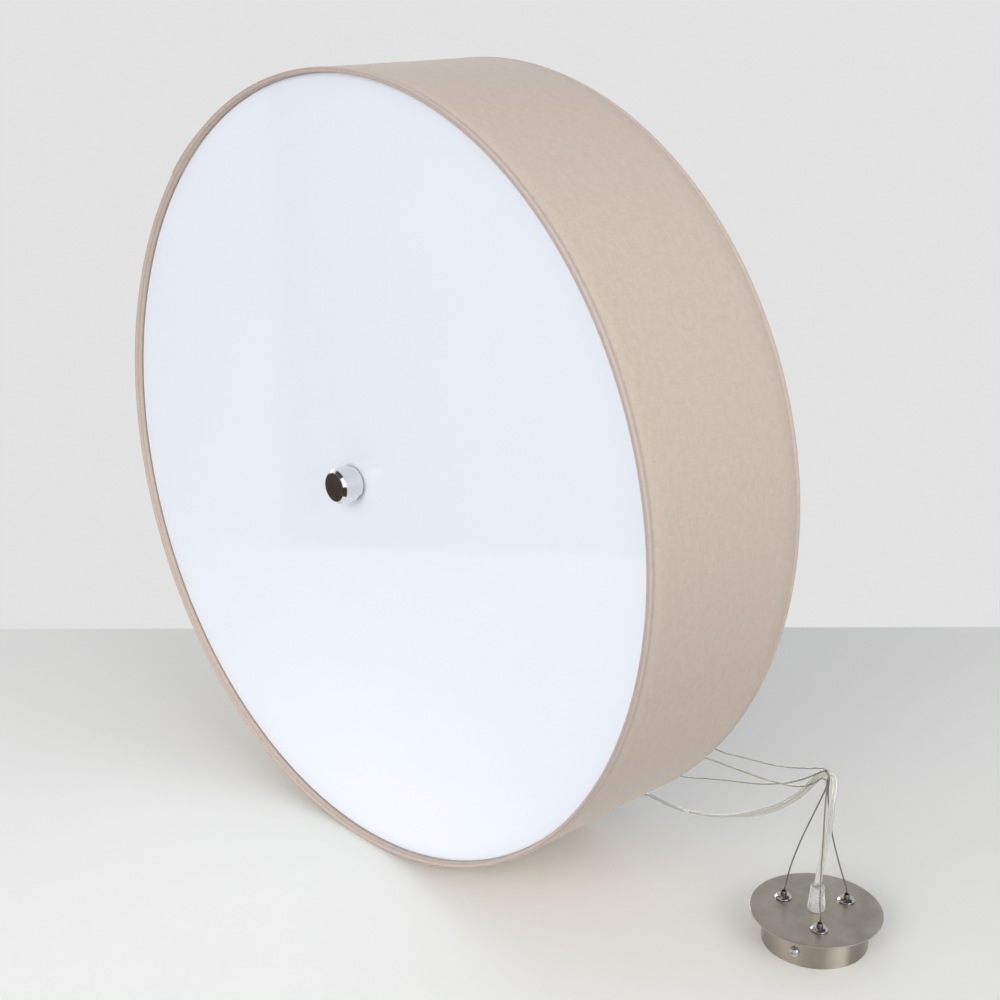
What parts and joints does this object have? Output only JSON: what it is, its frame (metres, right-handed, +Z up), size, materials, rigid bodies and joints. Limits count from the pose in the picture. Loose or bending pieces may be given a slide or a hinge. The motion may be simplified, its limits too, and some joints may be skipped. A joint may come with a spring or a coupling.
{
  "type": "drum pendant light",
  "caption": "Wide fabric drum pendant light with an opal diffuser, a chrome centre knob, a wire suspension and a small round ceiling canopy.",
  "frame": {"origin": "centre of the bottom of the drum and canopy's box, on the floor that they lie on", "axes": "+Y along the drum's axis, away from the diffuser; +Z up while it lies; +X towards the canopy"},
  "size_m": [0.6812, 0.2144, 0.6],
  "materials": {
    "fabric": "fine taupe woven shade fabric",
    "backing": "translucent shade lining",
    "opal_acrylic": "glossy opal sheet",
    "brushed_nickel": "satin nickel plate",
    "chrome": "polished chrome plate",
    "zinc": "zinc plated steel",
    "enamel": "white enamel on steel",
    "clear_plastic": "clear soft plastic",
    "steel_wire": "stranded steel wire",
    "holder_plastic": "heat-proof moulded plastic",
    "bulb_cap": "bulb cap metal",
    "bulb_glass": "frosted bulb glass",
    "washer": "soft pale washer"
  },
  "bodies": {
    "root": {"shade_cover": "fabric", "shade_lining": "backing", "front_ring": "zinc", "back_frame": "enamel", "hub_housing": "enamel", "hub_cover": "enamel", "center_rod": "zinc", "hub_front_nut": "zinc", "hub_back_nut": "zinc", "spider_front_nut": "zinc", "spider_back_nut": "zinc", "disc_collar": "zinc", "lampholder_1": "holder_plastic", "lampholder_2": "holder_plastic", "lampholder_3": "holder_plastic", "nipple_1": "zinc", "nipple_2": "zinc", "nipple_3": "zinc", "hub_terminal": "holder_plastic", "canopy_terminal": "holder_plastic", "rod_cord_grip": "clear_plastic", "cord_grip": "clear_plastic", "cord_grip_nut": "zinc", "wire_anchor_1": "chrome", "wire_anchor_2": "chrome", "wire_anchor_3": "chrome", "canopy_plate": "brushed_nickel", "canopy_cup": "brushed_nickel", "mounting_bracket": "zinc", "side_screw_1": "chrome", "side_screw_2": "chrome", "gripper_body_1": "chrome", "gripper_body_2": "chrome", "gripper_body_3": "chrome", "gripper_nut_1": "zinc", "gripper_nut_2": "zinc", "gripper_nut_3": "zinc", "wire_1": "steel_wire", "wire_2": "steel_wire", "wire_3": "steel_wire", "flex_cord": "clear_plastic", "cord_clip": "clear_plastic"},
    "diffuser": {"diffuser_disc": "opal_acrylic", "knob_washer": "washer"},
    "knob": {"knob": "chrome"},
    "bulb_1": {"bulb_cap_1": "bulb_cap", "bulb_glass_1": "bulb_glass"},
    "bulb_2": {"bulb_cap_2": "bulb_cap", "bulb_glass_2": "bulb_glass"},
    "bulb_3": {"bulb_cap_3": "bulb_cap", "bulb_glass_3": "bulb_glass"},
    "plunger_1": {"gripper_plunger_1": "chrome"},
    "plunger_2": {"gripper_plunger_2": "chrome"},
    "plunger_3": {"gripper_plunger_3": "chrome"}
  },
  "joints": [
    {"name": "diffuser_off", "type": "slide", "parent": "root", "child": "diffuser", "axis": [0, -1, 0], "range_m": [0, 0.06]},
    {"name": "knob_turn", "type": "hinge", "parent": "diffuser", "child": "knob", "pos_m": [-0.04065, -0.1, 0.3], "axis": [0, 1, 0], "continuous": true},
    {"name": "bulb_turn_1", "type": "hinge", "parent": "root", "child": "bulb_1", "pos_m": [-0.04065, -0.01605, 0.4], "axis": [0, 0, 1], "continuous": true},
    {"name": "bulb_turn_2", "type": "hinge", "parent": "root", "child": "bulb_2", "pos_m": [-0.04065, -0.01605, 0.3], "axis": [-0.866, 0, -0.5], "continuous": true},
    {"name": "bulb_turn_3", "type": "hinge", "parent": "root", "child": "bulb_3", "pos_m": [-0.04065, -0.01605, 0.3], "axis": [0.866, 0, -0.5], "continuous": true},
    {"name": "plunger_press_1", "type": "slide", "parent": "root", "child": "plunger_1", "axis": [0, 0, -1], "range_m": [0, 0.0015], "stiffness_N_per_m": 400, "springref_m": -0.001},
    {"name": "plunger_press_2", "type": "slide", "parent": "root", "child": "plunger_2", "axis": [0, 0, -1], "range_m": [0, 0.0015], "stiffness_N_per_m": 400, "springref_m": -0.001},
    {"name": "plunger_press_3", "type": "slide", "parent": "root", "child": "plunger_3", "axis": [0, 0, -1], "range_m": [0, 0.0015], "stiffness_N_per_m": 400, "springref_m": -0.001}
  ]
}
